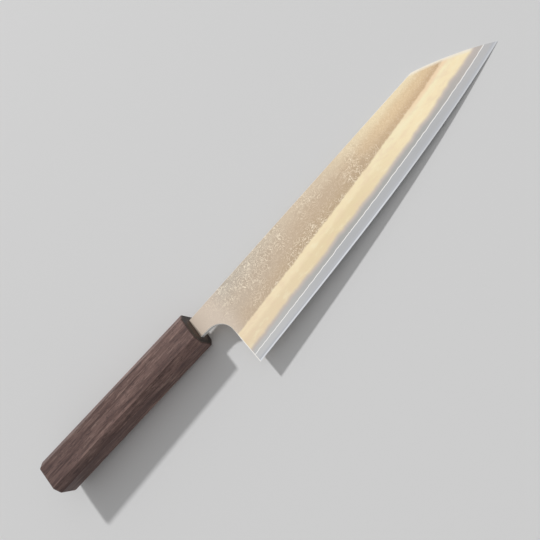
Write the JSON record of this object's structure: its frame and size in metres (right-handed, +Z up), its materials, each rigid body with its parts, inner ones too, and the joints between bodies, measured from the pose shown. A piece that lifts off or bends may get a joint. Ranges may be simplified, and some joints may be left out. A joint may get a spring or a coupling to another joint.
{
  "type": "kiritsuke knife",
  "caption": "Laminated steel kitchen knife with an angled tip, a wide ground bevel and a one-piece eight-sided wooden handle on a hidden tang.",
  "frame": {"origin": "bottom centre of the bounding box, with the knife lying on its left side on the handle's lower facet", "axes": "+X along the handle towards the blade's tip, +Y from the cutting edge towards the spine, +Z up through the thickness"},
  "size_m": [0.3692, 0.0566, 0.0198],
  "materials": {
    "core_steel": "polished core steel, pale grey",
    "bright_layer": "thin bright line between core and cladding",
    "cladding": "warm satin flat with pale flow lines, brighter ground bevel",
    "handle_wood": "dark close-grained wood with fine streaks, oiled satin",
    "glue": "cured clear amber resin",
    "seal": "dark filler, matte"
  },
  "bodies": {
    "root": {"core_steel": "core_steel", "right_shim": "bright_layer", "left_shim": "bright_layer", "right_cladding": "cladding", "left_cladding": "cladding", "handle": "handle_wood", "tang_glue": "glue", "neck_seal": "seal"}
  },
  "joints": []
}
